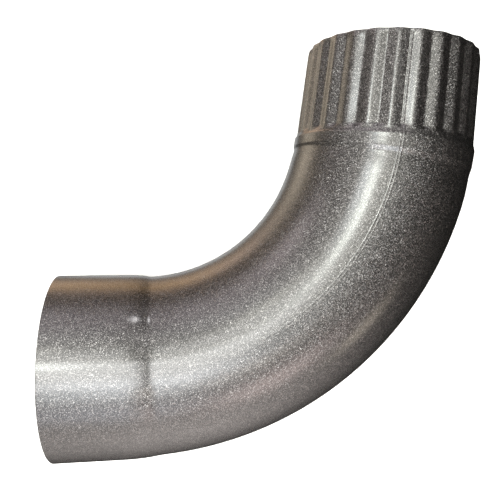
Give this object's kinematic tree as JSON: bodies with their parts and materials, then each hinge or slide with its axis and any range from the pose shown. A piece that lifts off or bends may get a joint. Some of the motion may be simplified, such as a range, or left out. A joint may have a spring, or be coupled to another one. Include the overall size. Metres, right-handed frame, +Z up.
{
  "type": "downspout elbow",
  "caption": "Round painted sheet-steel downspout elbow with a plain socket, a smooth bend, a rolled stop bead and a crimped, tapered spigot; it turns rainwater between two pipes.",
  "frame": {"origin": "centre of the socket's mouth", "axes": "the elbow lies on its side: the bend is in the XY plane, the socket opens towards -X, the bend turns towards +Y, and +Z is up"},
  "size_m": [0.2325, 0.2292, 0.1024],
  "materials": {
    "metallic_paint": "glossy metallic-flake paint, dark grey"
  },
  "bodies": {
    "root": {"elbow": "metallic_paint"}
  },
  "joints": []
}
